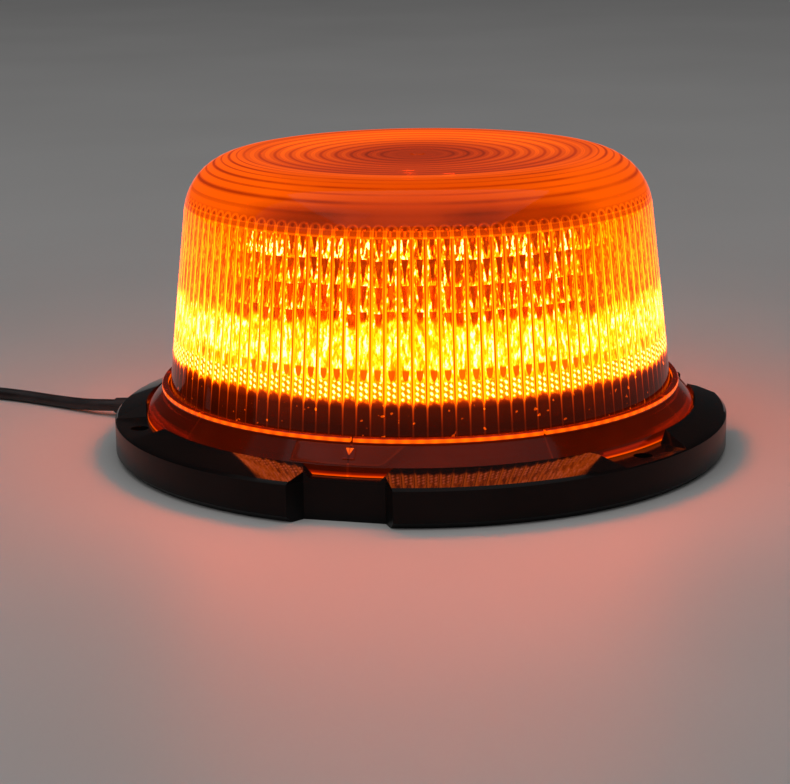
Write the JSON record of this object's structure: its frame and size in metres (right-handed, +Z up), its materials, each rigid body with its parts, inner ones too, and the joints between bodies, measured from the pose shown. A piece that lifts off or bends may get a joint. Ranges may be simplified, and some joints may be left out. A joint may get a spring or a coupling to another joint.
{
  "type": "led warning beacon",
  "caption": "Round amber LED warning beacon with a ribbed lens, a low three-point flange, a twist-off lock ring and a lead with a vehicle lighter plug.",
  "frame": {"origin": "centre of the underside of the base flange", "axes": "+Z up along the lens axis; -Y is the front; +X is to the right seen from the front"},
  "size_m": [0.3063, 0.1815, 0.0868],
  "materials": {
    "base_black": "semi-gloss moulded",
    "plate_black": "matt moulded",
    "zinc_screw": "zinc plated",
    "gasket_rubber": "matt",
    "cup_steel": "plated",
    "magnet_nickel": "nickel plated",
    "lens_amber": "clear amber polycarbonate",
    "seal_rubber": "matt",
    "ring_amber": "translucent amber polycarbonate",
    "core_aluminium": "extruded",
    "cap_white": "white reflector",
    "board_white": "white solder mask",
    "led_yellow": "phosphor dome",
    "optic_clear": "clear acrylic",
    "board_green": "green solder mask",
    "standoff_brass": "turned",
    "capacitor_sleeve": "shrink sleeve",
    "choke_copper": "enamelled wire",
    "chip_black": "moulded package",
    "terminal_green": "moulded",
    "boot_rubber": "soft moulded",
    "cable_black": "PVC sheath",
    "tie_black": "hook and loop strap",
    "plug_black": "fine textured",
    "nose_black": "moulded",
    "contact_nickel": "nickel plated",
    "spring_steel": "spring wire",
    "fuse_glass": "glass tube with plated caps",
    "button_red": "moulded",
    "button_grey": "moulded",
    "indicator_red": "light pipe"
  },
  "bodies": {
    "body": {"base_housing": "base_black", "bottom_plate": "plate_black", "bottom_screws": "zinc_screw", "foot_gasket": "gasket_rubber", "magnet_cups": "cup_steel", "magnets": "magnet_nickel", "magnet_screws": "zinc_screw", "lens": "lens_amber", "lens_seal": "seal_rubber", "tower_core": "core_aluminium", "tower_screws": "zinc_screw", "tower_cap": "cap_white", "cap_screws": "zinc_screw", "top_board": "board_white", "top_leds": "led_yellow", "led_board_1": "board_white", "led_board_2": "board_white", "led_board_3": "board_white", "led_board_4": "board_white", "led_board_5": "board_white", "led_board_6": "board_white", "leds": "led_yellow", "optic_1": "optic_clear", "optic_2": "optic_clear", "optic_3": "optic_clear", "optic_4": "optic_clear", "optic_5": "optic_clear", "optic_6": "optic_clear", "driver_board": "board_green", "driver_standoffs": "standoff_brass", "driver_screws": "zinc_screw", "capacitors": "capacitor_sleeve", "choke": "choke_copper", "transistors": "chip_black", "controller": "chip_black", "terminal_block": "terminal_green", "cable_grommet": "boot_rubber", "inner_lead": "cable_black", "cable_lead": "cable_black", "cable_coil": "cable_black", "coil_tie": "tie_black", "cable_tail": "cable_black", "plug_boot": "boot_rubber", "plug_shell_upper": "plug_black", "plug_shell_lower": "plug_black", "plug_screws": "zinc_screw", "plug_nose_ring": "nose_black", "plug_tip_spring": "spring_steel", "plug_fuse": "fuse_glass", "plug_board": "board_green", "plug_switches": "chip_black", "plug_indicator": "indicator_red"},
    "lock_ring": {"lock_ring": "ring_amber"},
    "plug_tip": {"plug_tip": "contact_nickel"},
    "plug_contact_left": {"plug_contact_left": "contact_nickel"},
    "plug_contact_right": {"plug_contact_right": "contact_nickel"},
    "power_button": {"plug_power_button": "button_red"},
    "mode_button": {"plug_mode_button": "button_grey"}
  },
  "joints": [
    {"name": "lock_ring_twist", "type": "hinge", "parent": "body", "child": "lock_ring", "pos_m": [0, 0, 0.016], "axis": [0, 0, 1], "range_deg": [0, 20]},
    {"name": "plug_tip_press", "type": "slide", "parent": "body", "child": "plug_tip", "axis": [0, 1, 0], "range_m": [0, 0.0045], "stiffness_N_per_m": 900, "springref_m": -0.002, "deforming": ["plug_tip_spring"]},
    {"name": "contact_left_press", "type": "slide", "parent": "body", "child": "plug_contact_left", "axis": [1, 0, 0], "range_m": [0, 0.0013], "stiffness_N_per_m": 2500, "springref_m": -0.001},
    {"name": "contact_right_press", "type": "slide", "parent": "body", "child": "plug_contact_right", "axis": [-1, 0, 0], "range_m": [0, 0.0013], "stiffness_N_per_m": 2500, "springref_m": -0.001},
    {"name": "power_button_press", "type": "slide", "parent": "body", "child": "power_button", "axis": [0, 0, -1], "range_m": [0, 0.0012], "stiffness_N_per_m": 1500, "springref_m": -0.0005},
    {"name": "mode_button_press", "type": "slide", "parent": "body", "child": "mode_button", "axis": [0, 0, -1], "range_m": [0, 0.0012], "stiffness_N_per_m": 1500, "springref_m": -0.0005}
  ]
}
